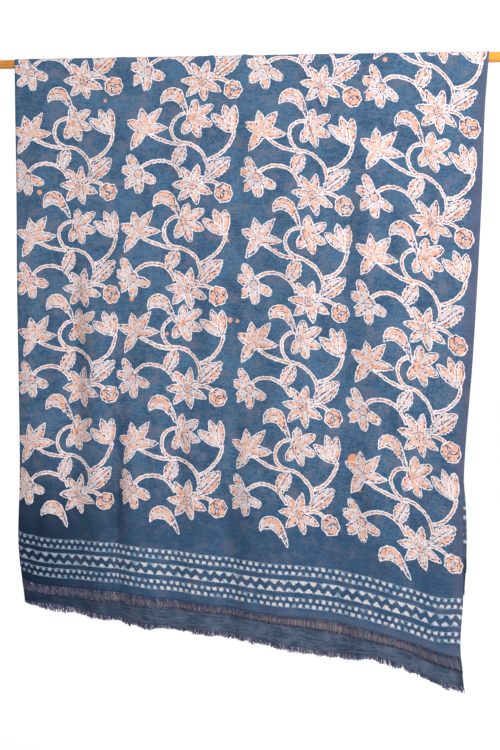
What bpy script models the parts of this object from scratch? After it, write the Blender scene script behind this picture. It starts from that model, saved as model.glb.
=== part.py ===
"""A block-printed cotton stole hanging over a slim cane rod, longer at the front than at the back.

X runs along the rod, Y points away from the front of the stole and Z is up. The origin is on the
rod's axis, at the middle of the cloth's top line. Sizes are in metres.

A point of the cloth is named by two lengths: across, from the left selvedge, and down, along the
cloth from the top of the rod. The front and the back panel each have their own folds and edges.
"""

import math
import random
from collections import namedtuple

import bmesh
import bpy
import numpy as np

STOLE_WIDTH = 0.90
CLOTH_THICK = 0.0015
CLOTH_SHARP_ANGLE = math.radians(40)

ROD_LENGTH = 1.10
ROD_RADIUS_LEFT = 0.0085
ROD_RADIUS_RIGHT = 0.0100
ROD_CHAMFER = 0.0010
ROD_SIDES = 28
ROD_SHARP_ANGLE = math.radians(30)
ROD_CLEARANCE = 0.0020

# Cloth grid: lines across it, and lines down each panel and over the rod
CLOTH_COLUMNS = 46
FRONT_ROWS = 13
BACK_ROWS = 11
OVER_ROD_ROWS = 4

# Each end of the stole: a parted strip, a band of bare warp, a woven header and a raw fringe
PARTING = 0.0003
ROOT_STRIP = 0.008
LOCKS = 56
LOCK_SHARE = 0.70
TIP_SHARE = 0.30
TIP_DRIFT = 0.0025
FRINGE_UNEVEN = 0.35
FRINGE_SEED = 11

# Each panel swells out from the rod between these lengths down it
SWELL_STARTS = 0.05
SWELL_FULL = 0.80

NORMAL_STEP = 0.0005
QUARTER_TURN = math.pi / 2

# A fold stands out from its panel, or is sunk where out is negative, and grows from starts to full
Fold = namedtuple("Fold", "across drift out spread starts full")
# Where the two selvedges hang, at a length down the panel
Edge = namedtuple("Edge", "down left right")
# How far down the cloth, the bare warp, the header and the fringe each end
End = namedtuple("End", "across cloth warp header fringe")
Panel = namedtuple("Panel", "side swell folds edges ends")

FRONT = Panel(
    side=-1,
    swell=0.010,
    folds=(
        Fold(across=0.000, drift=0.000, out=-0.016, spread=0.011, starts=0.25, full=0.95),
        Fold(across=0.108, drift=0.012, out=-0.010, spread=0.018, starts=0.10, full=0.60),
        Fold(across=0.160, drift=0.004, out=0.008, spread=0.024, starts=0.20, full=0.90),
        Fold(across=0.206, drift=0.006, out=-0.020, spread=0.015, starts=0.42, full=0.95),
        Fold(across=0.262, drift=0.004, out=0.012, spread=0.026, starts=0.35, full=1.00),
        Fold(across=0.345, drift=-0.008, out=-0.010, spread=0.020, starts=0.25, full=0.85),
        Fold(across=0.447, drift=-0.010, out=-0.012, spread=0.020, starts=0.30, full=0.90),
        Fold(across=0.530, drift=0.000, out=0.008, spread=0.030, starts=0.15, full=0.80),
        Fold(across=0.655, drift=-0.006, out=-0.009, spread=0.024, starts=0.10, full=0.60),
        Fold(across=0.740, drift=0.000, out=0.006, spread=0.032, starts=0.20, full=0.90),
        Fold(across=0.815, drift=-0.004, out=-0.007, spread=0.024, starts=0.20, full=0.80),
        Fold(across=0.900, drift=0.000, out=-0.008, spread=0.015, starts=0.55, full=1.05),
    ),
    edges=(
        Edge(down=0.00, left=-0.4510, right=0.4490),
        Edge(down=0.10, left=-0.4495, right=0.4410),
        Edge(down=0.28, left=-0.4470, right=0.4340),
        Edge(down=0.58, left=-0.4435, right=0.4175),
        Edge(down=0.80, left=-0.4415, right=0.4010),
        Edge(down=0.95, left=-0.4430, right=0.4000),
        Edge(down=1.03, left=-0.4330, right=0.4000),
        Edge(down=1.12, left=-0.4250, right=0.3950),
        Edge(down=1.20, left=-0.4200, right=0.4020),
    ),
    ends=(
        End(across=0.000, cloth=1.0000, warp=1.0170, header=1.0410, fringe=1.0470),
        End(across=0.050, cloth=1.0105, warp=1.0240, header=1.0450, fringe=1.0570),
        End(across=0.176, cloth=1.0205, warp=1.0385, header=1.0675, fringe=1.0785),
        End(across=0.485, cloth=1.0585, warp=1.0690, header=1.1065, fringe=1.1145),
        End(across=0.660, cloth=1.0785, warp=1.0960, header=1.1345, fringe=1.1430),
        End(across=0.745, cloth=1.0970, warp=1.1120, header=1.1400, fringe=1.1480),
        End(across=0.797, cloth=1.1130, warp=1.1280, header=1.1600, fringe=1.1690),
        End(across=0.835, cloth=1.1250, warp=1.1440, header=1.1780, fringe=1.1880),
        End(across=0.900, cloth=1.1430, warp=1.1670, header=1.1940, fringe=1.2050),
    ),
)

BACK = Panel(
    side=1,
    swell=0.012,
    folds=(
        Fold(across=0.000, drift=0.000, out=0.010, spread=0.020, starts=0.30, full=0.95),
        Fold(across=0.090, drift=0.010, out=-0.014, spread=0.026, starts=0.08, full=0.80),
        Fold(across=0.190, drift=0.000, out=0.018, spread=0.030, starts=0.10, full=0.90),
        Fold(across=0.310, drift=-0.010, out=-0.012, spread=0.032, starts=0.06, full=0.70),
        Fold(across=0.430, drift=0.006, out=0.014, spread=0.030, starts=0.12, full=0.85),
        Fold(across=0.545, drift=0.000, out=-0.015, spread=0.026, starts=0.10, full=0.80),
        Fold(across=0.650, drift=-0.008, out=0.016, spread=0.034, starts=0.15, full=0.90),
        Fold(across=0.775, drift=-0.004, out=-0.014, spread=0.028, starts=0.05, full=0.75),
        Fold(across=0.860, drift=0.000, out=0.009, spread=0.022, starts=0.25, full=0.95),
    ),
    edges=(
        Edge(down=0.00, left=-0.4510, right=0.4490),
        Edge(down=0.10, left=-0.4450, right=0.4370),
        Edge(down=0.28, left=-0.4400, right=0.4280),
        Edge(down=0.58, left=-0.4340, right=0.4110),
        Edge(down=0.78, left=-0.4300, right=0.4010),
        Edge(down=0.88, left=-0.4280, right=0.4080),
        Edge(down=0.96, left=-0.4270, right=0.4080),
        Edge(down=1.06, left=-0.4260, right=0.4010),
    ),
    ends=(
        End(across=0.000, cloth=0.8900, warp=0.9120, header=0.9440, fringe=0.9560),
        End(across=0.300, cloth=0.9120, warp=0.9340, header=0.9660, fringe=0.9770),
        End(across=0.620, cloth=0.9330, warp=0.9560, header=0.9890, fringe=1.0010),
        End(across=0.900, cloth=0.9600, warp=0.9840, header=1.0180, fringe=1.0300),
    ),
)


def clear_scene():
    for thing in list(bpy.data.objects):
        bpy.data.objects.remove(thing, do_unlink=True)


def ease(value, start, end):
    """0 at start, 1 at end, and level at both."""
    share = np.clip((value - start) / (end - start), 0.0, 1.0)
    return share * share * (3.0 - 2.0 * share)


def curve_through(rows, across_name, height_name, value):
    """A smooth line through a table's rows, read at value."""
    xs = np.array([getattr(row, across_name) for row in rows])
    ys = np.array([getattr(row, height_name) for row in rows])
    slopes = np.gradient(ys, xs)
    at = np.clip(np.searchsorted(xs, value, side="right") - 1, 0, len(xs) - 2)
    span = xs[at + 1] - xs[at]
    t = np.clip((value - xs[at]) / span, 0.0, 1.0)
    from_left = ys[at] * (1 + 2 * t) * (1 - t) ** 2 + slopes[at] * span * t * (1 - t) ** 2
    from_right = ys[at + 1] * t * t * (3 - 2 * t) - slopes[at + 1] * span * t * t * (1 - t)
    return from_left + from_right


def rod_radius(across):
    """The rod's radius where the cloth lies over it at this length across."""
    share = 0.5 + (across - STOLE_WIDTH / 2) / ROD_LENGTH
    return ROD_RADIUS_LEFT + (ROD_RADIUS_RIGHT - ROD_RADIUS_LEFT) * share


def fold_out(panel, across, down):
    """How far the folds carry the cloth out from its panel."""
    out = panel.swell * ease(down, SWELL_STARTS, SWELL_FULL)
    for fold in panel.folds:
        grown = ease(down, fold.starts, fold.full)
        from_middle = (across - fold.across - fold.drift * grown) / fold.spread
        out = out + fold.out * grown * np.exp(-0.5 * from_middle**2)
    return out


def taken_up(panel, across, down):
    """Width that the folds use up, from the left selvedge to across."""
    taken = np.zeros(np.broadcast(across, down).shape)
    for fold in panel.folds:
        depth = fold.out * ease(down, fold.starts, fold.full)
        arc_surplus = 0.25 * math.sqrt(math.pi) * depth * depth / fold.spread
        taken = taken + arc_surplus * 0.5 * (1 + np.tanh((across - fold.across) / fold.spread))
    return taken


def panel_points(panel, across, down):
    """Middle of the cloth's thickness, for arrays of lengths across and down one panel."""
    left = curve_through(panel.edges, "down", "left", down)
    right = curve_through(panel.edges, "down", "right", down)
    before = taken_up(panel, np.zeros_like(across), down)
    laid = across - taken_up(panel, across, down) + before
    whole = STOLE_WIDTH - taken_up(panel, np.full_like(across, STOLE_WIDTH), down) + before
    ring = rod_radius(across) + ROD_CLEARANCE + CLOTH_THICK / 2
    turn = np.minimum(down / ring, QUARTER_TURN)
    hanging = np.maximum(down - ring * QUARTER_TURN, 0.0)
    x = left + (right - left) * laid / whole
    y = panel.side * (ring * np.sin(turn) + fold_out(panel, across, down))
    z = ring * np.cos(turn) - hanging
    return np.stack([x, y, z], axis=-1)


def cloth_points(across, along):
    """As panel_points, with lengths along the cloth: positive on the front, negative on the back."""
    across, along = np.broadcast_arrays(np.asarray(across, float), np.asarray(along, float))
    front = panel_points(FRONT, across, np.maximum(along, 0.0))
    back = panel_points(BACK, across, np.maximum(-along, 0.0))
    return np.where((along >= 0)[..., None], front, back)


def cloth_faces(across, along):
    """Points on the two faces of the cloth: the one away from the rod, then the one towards it."""
    middle = cloth_points(across, along)
    side_step = cloth_points(across + NORMAL_STEP, along) - cloth_points(across - NORMAL_STEP, along)
    down_step = cloth_points(across, along + NORMAL_STEP) - cloth_points(across, along - NORMAL_STEP)
    normal = np.cross(down_step, side_step)
    normal /= np.linalg.norm(normal, axis=-1, keepdims=True)
    return middle + normal * CLOTH_THICK / 2, middle - normal * CLOTH_THICK / 2


def end_line(panel, name, across):
    return curve_through(panel.ends, "across", name, across)


def plain_material(name, colour, roughness, metallic=0.0):
    made = bpy.data.materials.new(name)
    made.use_nodes = True
    shader = made.node_tree.nodes["Principled BSDF"]
    shader.inputs["Base Color"].default_value = (*colour, 1.0)
    shader.inputs["Roughness"].default_value = roughness
    shader.inputs["Metallic"].default_value = metallic
    return made


def varnished_cane():
    return plain_material("varnished_cane", colour=(0.66, 0.42, 0.12), roughness=0.35)


def printed_cotton():
    return plain_material("printed_cotton", colour=(0.10, 0.17, 0.30), roughness=0.9)


def handloom_cotton(name):
    return plain_material(name, colour=(0.13, 0.17, 0.26), roughness=0.95)


def add_object(name, mesh_maker, finish):
    """An object from a bmesh, with every face pointing out."""
    mesh = bpy.data.meshes.new(name)
    bmesh.ops.recalc_face_normals(mesh_maker, faces=mesh_maker.faces)
    mesh_maker.to_mesh(mesh)
    mesh_maker.free()
    mesh.materials.append(finish)
    thing = bpy.data.objects.new(name, mesh)
    bpy.context.collection.objects.link(thing)
    return thing


def add_vertices(maker, points):
    """A grid of bmesh vertices in the shape of an array of points."""
    shape = points.shape[:-1]
    made = np.empty(shape, dtype=object)
    for place in np.ndindex(shape):
        made[place] = maker.verts.new(points[place])
    return made


def make_rod():
    """A slim cane that thickens a little to the right, with its end rims eased."""
    half = ROD_LENGTH / 2
    rings = (
        (-half, ROD_RADIUS_LEFT - ROD_CHAMFER),
        (-half + ROD_CHAMFER, ROD_RADIUS_LEFT),
        (half - ROD_CHAMFER, ROD_RADIUS_RIGHT),
        (half, ROD_RADIUS_RIGHT - ROD_CHAMFER),
    )
    maker = bmesh.new()
    loops = []
    for x, radius in rings:
        angles = [2 * math.pi * i / ROD_SIDES for i in range(ROD_SIDES)]
        loops.append([maker.verts.new((x, radius * math.cos(a), radius * math.sin(a))) for a in angles])
    for loop, following in zip(loops, loops[1:]):
        for i in range(ROD_SIDES):
            after = (i + 1) % ROD_SIDES
            maker.faces.new((loop[i], loop[after], following[after], following[i]))
    maker.faces.new(loops[0])
    maker.faces.new(loops[-1])
    rod = add_object("rod", maker, varnished_cane())
    rod.data.shade_smooth()
    rod.data.set_sharp_from_angle(angle=ROD_SHARP_ANGLE)
    return rod


def cloth_lines(across):
    """Lengths along the cloth of its grid's rows, for one line at each length across."""
    ring = rod_radius(across) + ROD_CLEARANCE + CLOTH_THICK / 2
    quarter = ring * QUARTER_TURN
    front_end = end_line(FRONT, "cloth", across) - ROOT_STRIP - PARTING
    back_end = end_line(BACK, "cloth", across) - ROOT_STRIP - PARTING
    rows = []
    for i in range(BACK_ROWS):
        rows.append(-back_end + (back_end - quarter) * i / BACK_ROWS)
    for i in range(2 * OVER_ROD_ROWS + 1):
        rows.append(quarter * (i / OVER_ROD_ROWS - 1))
    for i in range(1, FRONT_ROWS + 1):
        rows.append(quarter + (front_end - quarter) * i / FRONT_ROWS)
    return np.array(rows)


def make_cloth():
    """The printed length of cloth, from its back end over the rod to its front end."""
    across = np.linspace(0.0, STOLE_WIDTH, CLOTH_COLUMNS + 1)
    outer_points, inner_points = cloth_faces(across, cloth_lines(across))
    maker = bmesh.new()
    outer = add_vertices(maker, outer_points)
    inner = add_vertices(maker, inner_points)
    rows, columns = outer.shape
    for i in range(rows - 1):
        for j in range(columns - 1):
            for face in (outer, inner):
                maker.faces.new((face[i, j], face[i, j + 1], face[i + 1, j + 1], face[i + 1, j]))
        for j in (0, columns - 1):
            maker.faces.new((outer[i, j], outer[i + 1, j], inner[i + 1, j], inner[i, j]))
    for j in range(columns - 1):
        for i in (0, rows - 1):
            maker.faces.new((outer[i, j], outer[i, j + 1], inner[i, j + 1], inner[i, j]))
    cloth = add_object("stole_cloth", maker, printed_cotton())
    cloth.data.shade_smooth()
    cloth.data.set_sharp_from_angle(angle=CLOTH_SHARP_ANGLE)
    return cloth


def lock_sides():
    """Lengths across of both sides of every lock, between the two selvedges."""
    pitch = STOLE_WIDTH / LOCKS
    lines = [0.0]
    for i in range(LOCKS):
        middle = (i + 0.5) * pitch
        lines += [middle - pitch * LOCK_SHARE / 2, middle + pitch * LOCK_SHARE / 2]
    return np.array(lines + [STOLE_WIDTH])


# The four lines across an end where its parts meet, from the cloth down
STRIP_TOP, STRIP_FOOT, HEADER_TOP, HEADER_FOOT = range(4)
ROOT_BAND = (STRIP_TOP, STRIP_FOOT)
BARE_WARP = (STRIP_FOOT, HEADER_TOP)
HEADER_BAND = (HEADER_TOP, HEADER_FOOT)


def end_points(panel, across):
    """Points of one end, as an array of lines by places across by its two faces."""
    cloth_end = end_line(panel, "cloth", across)
    lines = [cloth_end - ROOT_STRIP, cloth_end]
    lines += [end_line(panel, part, across) for part in ("warp", "header")]
    return np.stack(cloth_faces(across, -panel.side * np.array(lines)), axis=2)


def close_side(maker, points, band, place):
    """The narrow face that closes a band at one place across it."""
    top, foot = band
    corners = ((top, 0), (foot, 0), (foot, 1), (top, 1))
    maker.faces.new([points[line, place, face] for line, face in corners])


def close_rim(maker, points, line, place):
    """The narrow face along one line, from a place across to the next."""
    corners = ((place, 0), (place + 1, 0), (place + 1, 1), (place, 1))
    maker.faces.new([points[line, across, face] for across, face in corners])


def add_cell(maker, points, band, place):
    """Both broad faces of a band, from a place across to the next."""
    top, foot = band
    for face in (0, 1):
        corners = ((top, place), (top, place + 1), (foot, place + 1), (foot, place))
        maker.faces.new([points[line, across, face] for line, across in corners])


def add_lock(maker, points, place):
    """One lock of bare warp, joined to the strips above and below it."""
    for band in (ROOT_BAND, BARE_WARP, HEADER_BAND):
        add_cell(maker, points, band, place)
    close_rim(maker, points, STRIP_TOP, place)
    close_side(maker, points, BARE_WARP, place)
    close_side(maker, points, BARE_WARP, place + 1)


def add_gap(maker, points, place):
    """The two strips between one lock and the next."""
    for band in (ROOT_BAND, HEADER_BAND):
        add_cell(maker, points, band, place)
        for line in band:
            close_rim(maker, points, line, place)


def make_end(name, panel):
    """One end of the stole: locks of bare warp between two strips, and a fringe below them."""
    across = lock_sides()
    maker = bmesh.new()
    points = add_vertices(maker, end_points(panel, across))
    last = len(across) - 1
    for place in range(last):
        is_lock = place % 2 == 1
        add_part = add_lock if is_lock else add_gap
        add_part(maker, points, place)
    for band in (ROOT_BAND, HEADER_BAND):
        close_side(maker, points, band, 0)
        close_side(maker, points, band, last)
    add_fringe(maker, panel, across, points[HEADER_FOOT])
    return add_object(name, maker, handloom_cotton(name + "_cotton"))


def add_fringe(maker, panel, across, roots):
    """A tapering strand below each lock's place on the header, each a little out of line."""
    chance = random.Random(FRINGE_SEED + panel.side)
    for j in range(1, len(across) - 1, 2):
        drift = chance.uniform(-TIP_DRIFT, TIP_DRIFT)
        middle = (across[j] + across[j + 1]) / 2 + drift
        half = (across[j + 1] - across[j]) * TIP_SHARE / 2
        header = end_line(panel, "header", middle)
        length = end_line(panel, "fringe", middle) - header
        along = header + length * (1 - chance.uniform(0, FRINGE_UNEVEN))
        places = np.clip(np.array([middle - half, middle + half]), 0.0, STOLE_WIDTH)
        outer_points, inner_points = cloth_faces(places, -panel.side * np.full(2, along))
        tips = add_vertices(maker, np.stack([outer_points, inner_points], axis=1))
        root_ring = [roots[j, 0], roots[j + 1, 0], roots[j + 1, 1], roots[j, 1]]
        tip_ring = [tips[0, 0], tips[1, 0], tips[1, 1], tips[0, 1]]
        for i in range(4):
            after = (i + 1) % 4
            maker.faces.new((root_ring[i], root_ring[after], tip_ring[after], tip_ring[i]))
        maker.faces.new(tip_ring)


def main():
    clear_scene()
    make_rod()
    make_cloth()
    make_end("end_front", FRONT)
    make_end("end_back", BACK)


main()
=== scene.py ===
import cmath
import math
import random
from collections import namedtuple

import bpy
import numpy as np
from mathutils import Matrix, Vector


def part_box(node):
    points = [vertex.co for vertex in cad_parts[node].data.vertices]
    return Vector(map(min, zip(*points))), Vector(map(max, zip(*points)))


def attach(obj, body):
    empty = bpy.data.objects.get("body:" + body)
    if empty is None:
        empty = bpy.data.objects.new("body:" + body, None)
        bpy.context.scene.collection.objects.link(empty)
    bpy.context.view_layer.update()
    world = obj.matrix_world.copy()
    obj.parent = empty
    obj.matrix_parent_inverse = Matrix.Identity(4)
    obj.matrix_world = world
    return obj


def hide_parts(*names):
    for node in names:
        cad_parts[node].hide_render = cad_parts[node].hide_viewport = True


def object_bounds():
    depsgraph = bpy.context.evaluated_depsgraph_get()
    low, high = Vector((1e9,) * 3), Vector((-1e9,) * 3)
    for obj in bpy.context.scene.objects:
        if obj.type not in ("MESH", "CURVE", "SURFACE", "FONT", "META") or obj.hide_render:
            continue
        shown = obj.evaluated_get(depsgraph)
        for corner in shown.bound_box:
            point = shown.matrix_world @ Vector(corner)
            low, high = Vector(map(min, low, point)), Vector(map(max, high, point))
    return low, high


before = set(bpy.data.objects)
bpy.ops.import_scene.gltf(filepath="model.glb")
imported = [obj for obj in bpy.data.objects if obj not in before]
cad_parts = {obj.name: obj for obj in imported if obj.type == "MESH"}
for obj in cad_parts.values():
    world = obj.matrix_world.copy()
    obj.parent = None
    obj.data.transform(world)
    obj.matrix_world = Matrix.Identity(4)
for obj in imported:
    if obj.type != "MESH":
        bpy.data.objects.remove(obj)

cad_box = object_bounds()

# Sizes in metres unless a name ends in MM or PX. The tables' rows are in millimetres
MM = 0.001
PX = 1.8935 * MM

STOLE_WIDTH = 0.90
SHEET_THICK = 0.0006
ROD_CLEARANCE = 0.0006
ROD_LOW, ROD_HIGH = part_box("rod")
ROD_LENGTH = ROD_HIGH.x - ROD_LOW.x
ROD_RADII = (0.0085, ROD_HIGH.z)

SHEET_COLUMNS = 168
FRONT_ROWS = 130
BACK_ROWS = 112
OVER_ROD_ROWS = 7
HEADER_ROWS = 7
QUARTER_TURN = math.pi / 2

Fold = namedtuple("Fold", "across drift out spread starts full")
Crease = namedtuple("Crease", "across down lean length width out")
Edge = namedtuple("Edge", "down left right")
End = namedtuple("End", "across cloth warp header fringe")
Panel = namedtuple("Panel", "side swell folds creases edges ends")
Pucker = namedtuple("Pucker", "across width out")


def table(kind, *rows):
    """Rows in metres from rows in millimetres. A lean is given in millimetres a metre."""
    return [kind(*(value * MM for value in row)) for row in rows]


# The folds, edges and ends that the solids have, and finer creases on top of them
FRONT = Panel(
    side=-1,
    swell=0.010,
    folds=table(
        Fold,
        (0, 0, -16, 11, 250, 950),
        (108, 12, -10, 18, 100, 600),
        (160, 4, 8, 24, 200, 900),
        (206, 6, -20, 15, 420, 950),
        (262, 4, 12, 26, 350, 1000),
        (345, -8, -10, 20, 250, 850),
        (447, -10, -12, 20, 300, 900),
        (530, 0, 8, 30, 150, 800),
        (655, -6, -9, 24, 100, 600),
        (740, 0, 6, 32, 200, 900),
        (815, -4, -7, 24, 200, 800),
        (900, 0, -8, 15, 550, 1050),
    ),
    creases=table(
        Crease,
        (213, 880, 20, 500, 14.5, 7),
        (232, 950, 140, 120, 5, -1.4),
        (35, 930, -250, 150, 9, -5),
        (66, 880, -200, 200, 11, 4),
        (112, 420, 30, 340, 7, -1.4),
        (122, 680, -50, 220, 8, -1.4),
        (300, 620, -30, 300, 7, -2),
        (440, 800, -30, 320, 7, -2.6),
        (462, 460, 30, 260, 7, -1.8),
        (560, 700, 20, 300, 8, 1.8),
        (645, 400, -20, 360, 7, -2.2),
        (668, 780, 30, 240, 8, -1.8),
        (800, 500, -20, 320, 7, -1.8),
        (852, 820, -20, 240, 8, -2),
    ),
    edges=table(
        Edge,
        (0, -451, 449),
        (100, -449.5, 441),
        (280, -447, 434),
        (580, -443.5, 417.5),
        (800, -441.5, 401),
        (950, -443, 400),
        (1030, -433, 400),
        (1120, -425, 395),
        (1200, -420, 402),
    ),
    ends=table(
        End,
        (0, 1000, 1017, 1041, 1047),
        (50, 1010.5, 1024, 1045, 1057),
        (176, 1020.5, 1038.5, 1067.5, 1078.5),
        (485, 1058.5, 1069, 1106.5, 1114.5),
        (660, 1078.5, 1096, 1134.5, 1143),
        (745, 1097, 1112, 1140, 1148),
        (797, 1113, 1128, 1160, 1169),
        (835, 1125, 1144, 1178, 1188),
        (900, 1143, 1167, 1194, 1205),
    ),
)

BACK = Panel(
    side=1,
    swell=0.012,
    folds=table(
        Fold,
        (0, 0, 10, 20, 300, 950),
        (90, 10, -14, 26, 80, 800),
        (190, 0, 18, 30, 100, 900),
        (310, -10, -12, 32, 60, 700),
        (430, 6, 14, 30, 120, 850),
        (545, 0, -15, 26, 100, 800),
        (650, -8, 16, 34, 150, 900),
        (775, -4, -14, 28, 50, 750),
        (860, 0, 9, 22, 250, 950),
    ),
    creases=table(
        Crease,
        (140, 600, 40, 400, 8, -3),
        (365, 500, -30, 360, 8, 2.5),
        (600, 660, 50, 300, 7, -2.8),
        (720, 420, -20, 400, 8, -2.5),
    ),
    edges=table(
        Edge,
        (0, -451, 449),
        (100, -445, 437),
        (280, -440, 428),
        (580, -434, 411),
        (780, -430, 401),
        (880, -428, 408),
        (960, -427, 408),
        (1060, -426, 401),
    ),
    ends=table(
        End,
        (0, 890, 912, 944, 956),
        (300, 912, 934, 966, 977),
        (620, 933, 956, 989, 1001),
        (900, 960, 984, 1018, 1030),
    ),
)

# Small puckers where the cloth bends over the rod
PUCKERS = table(
    Pucker,
    (89, 5, 1),
    (208, 7, 0.8),
    (378, 4, 1.3),
    (440, 6, 1.8),
    (552, 9, 1),
    (607, 4, 1.4),
    (702, 8, 1.6),
    (788, 5, 1.2),
    (829, 4, 1),
)
PUCKERS_END = (0.015, 0.080)

# Slow ripples all over the cloth, from seeded waves
RIPPLE_SEED = 5
RIPPLE_WAVES = 16
RIPPLE_HEIGHT = 0.0006
RIPPLES_ACROSS = (5.0, 17.0)
RIPPLES_DOWN = (0.5, 4.0)
RIPPLES_START = (0.02, 0.20)
SWELL_DOWN = (0.05, 0.80)


def between(ends, share):
    """The first end at 0, the second at 1, and what lies between them."""
    return ends[0] + (ends[1] - ends[0]) * share


def ease(value, start, end):
    """0 at start, 1 at end, and level at both."""
    share = np.clip((value - start) / (end - start), 0, 1)
    return share * share * (3 - 2 * share)


def curve_through(rows, across_name, height_name, value):
    """A smooth line through a table's rows, read at value."""
    xs = np.array([getattr(row, across_name) for row in rows])
    ys = np.array([getattr(row, height_name) for row in rows])
    slopes = np.gradient(ys, xs)
    at = np.clip(np.searchsorted(xs, value, side="right") - 1, 0, len(xs) - 2)
    span = xs[at + 1] - xs[at]
    t = np.clip((value - xs[at]) / span, 0, 1)
    from_left = ys[at] * (1 + 2 * t) * (1 - t) ** 2 + slopes[at] * span * t * (1 - t) ** 2
    from_right = ys[at + 1] * t * t * (3 - 2 * t) - slopes[at + 1] * span * t * t * (1 - t)
    return from_left + from_right


def rod_radius(across):
    return between(ROD_RADII, 0.5 + (across - STOLE_WIDTH / 2) / ROD_LENGTH)


def ripples(across, down):
    """Slow seeded waves, a little different on each panel."""
    chance = random.Random(RIPPLE_SEED)
    total = 0
    for _ in range(RIPPLE_WAVES):
        waves_across = chance.uniform(*RIPPLES_ACROSS)
        waves_down = chance.uniform(*RIPPLES_DOWN) * chance.choice((-1, 1))
        phase = chance.uniform(0, 2 * math.pi)
        total = total + np.sin(2 * math.pi * (waves_across * across + waves_down * down) + phase)
    return RIPPLE_HEIGHT * total * ease(np.abs(down), *RIPPLES_START)


def puckered(across, down):
    """How far the puckers lift the cloth off the rod."""
    total = sum(p.out * np.exp(-0.5 * ((across - p.across) / p.width) ** 2) for p in PUCKERS)
    return total * (1 - ease(down, *PUCKERS_END))


def fold_out(panel, across, down):
    """How far the folds, creases and ripples carry the cloth out from its panel."""
    out = panel.swell * ease(down, *SWELL_DOWN)
    for fold in panel.folds:
        grown = ease(down, fold.starts, fold.full)
        from_middle = (across - fold.across - fold.drift * grown) / fold.spread
        out = out + fold.out * grown * np.exp(-0.5 * from_middle**2)
    for crease in panel.creases:
        along = (down - crease.down) / (crease.length / 2)
        from_line = (across - crease.across - crease.lean * (down - crease.down)) / crease.width
        out = out + crease.out * np.exp(-0.5 * from_line**2 - along**4)
    return out + ripples(across, -panel.side * down)


def taken_up(panel, across, down):
    """Width that the folds use up, from the left selvedge to across."""
    taken = np.zeros(np.broadcast(across, down).shape)
    for fold in panel.folds:
        depth = fold.out * ease(down, fold.starts, fold.full)
        arc_surplus = 0.25 * math.sqrt(math.pi) * depth * depth / fold.spread
        taken = taken + arc_surplus * 0.5 * (1 + np.tanh((across - fold.across) / fold.spread))
    return taken


def panel_points(panel, across, down):
    """Points of one panel, for arrays of lengths across and down it."""
    left = curve_through(panel.edges, "down", "left", down)
    right = curve_through(panel.edges, "down", "right", down)
    before = taken_up(panel, np.zeros_like(across), down)
    laid = across - taken_up(panel, across, down) + before
    whole = STOLE_WIDTH - taken_up(panel, np.full_like(across, STOLE_WIDTH), down) + before
    ring = rod_radius(across) + ROD_CLEARANCE + SHEET_THICK / 2
    turn = np.minimum(down / ring, QUARTER_TURN)
    hanging = np.maximum(down - ring * QUARTER_TURN, 0)
    ring = ring + puckered(across, down)
    x = between((left, right), laid / whole)
    y = panel.side * (ring * np.sin(turn) + fold_out(panel, across, down))
    z = ring * np.cos(turn) - hanging
    return np.stack([x, y, z], axis=-1)


def cloth_points(across, along):
    """As panel_points, with lengths along the cloth: positive on the front, negative on the back."""
    across, along = np.broadcast_arrays(np.asarray(across, float), np.asarray(along, float))
    front = panel_points(FRONT, across, np.maximum(along, 0))
    back = panel_points(BACK, across, np.maximum(-along, 0))
    return np.where((along >= 0)[..., None], front, back)


def end_line(panel, name, across):
    return curve_through(panel.ends, "across", name, across)


# Meshes


def add_object(name, points, faces, material):
    mesh = bpy.data.meshes.new(name)
    mesh.from_pydata([tuple(p) for p in points], [], [tuple(f) for f in faces])
    mesh.materials.append(material)
    mesh.shade_smooth()
    thing = bpy.data.objects.new(name, mesh)
    bpy.context.scene.collection.objects.link(thing)
    return thing


def add_map(thing, name, places):
    """A UV map that holds a place, in metres, for each vertex."""
    corners = np.empty(len(thing.data.loops), dtype=np.int32)
    thing.data.loops.foreach_get("vertex_index", corners)
    layer = thing.data.uv_layers.new(name=name)
    layer.data.foreach_set("uv", places[corners].astype(np.float32).ravel())


def grid_faces(rows, columns):
    at = np.arange(rows * columns).reshape(rows, columns)
    corners = (at[:-1, :-1], at[1:, :-1], at[1:, 1:], at[:-1, 1:])
    return np.stack(corners, axis=-1).reshape(-1, 4)


def add_sheet(name, across, along, hem_across, hem, material):
    """A thin sheet over a grid of lengths across and along the cloth."""
    rows, columns = along.shape
    across = np.broadcast_to(across, along.shape)
    hem_across = np.broadcast_to(hem_across, along.shape)
    points = cloth_points(across, along).reshape(-1, 3)
    thing = add_object(name, points, grid_faces(rows, columns), material)
    add_map(thing, "cloth_place", np.stack([across, along], axis=-1).reshape(-1, 2))
    add_map(thing, "hem_place", np.stack([hem_across, hem], axis=-1).reshape(-1, 2))
    thick = thing.modifiers.new("thickness", "SOLIDIFY")
    thick.thickness = SHEET_THICK
    thick.offset = 0
    return thing


# The border's blocks were set closer together at the left than at the right
BORDER_STRETCH = (0.93, 1.06)


def make_cloth(material):
    """The printed length, from its back end over the rod to its front end."""
    across = np.linspace(0, STOLE_WIDTH, SHEET_COLUMNS + 1)
    quarter = (rod_radius(across) + ROD_CLEARANCE) * QUARTER_TURN
    front_end = end_line(FRONT, "cloth", across)
    back_end = end_line(BACK, "cloth", across)
    rows = [-back_end + (back_end - quarter) * i / BACK_ROWS for i in range(BACK_ROWS)]
    rows += [quarter * (i / OVER_ROD_ROWS - 1) for i in range(2 * OVER_ROD_ROWS + 1)]
    rows += [quarter + (front_end - quarter) * i / FRONT_ROWS for i in range(1, FRONT_ROWS + 1)]
    along = np.array(rows)
    hem = np.minimum(front_end - along, along + back_end)
    stretch = between(BORDER_STRETCH, across / STOLE_WIDTH)
    hem_across = np.log(stretch) * STOLE_WIDTH / (BORDER_STRETCH[1] - BORDER_STRETCH[0])
    return add_sheet("stole_sheet", across, along, hem_across, hem / stretch, material)


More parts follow.
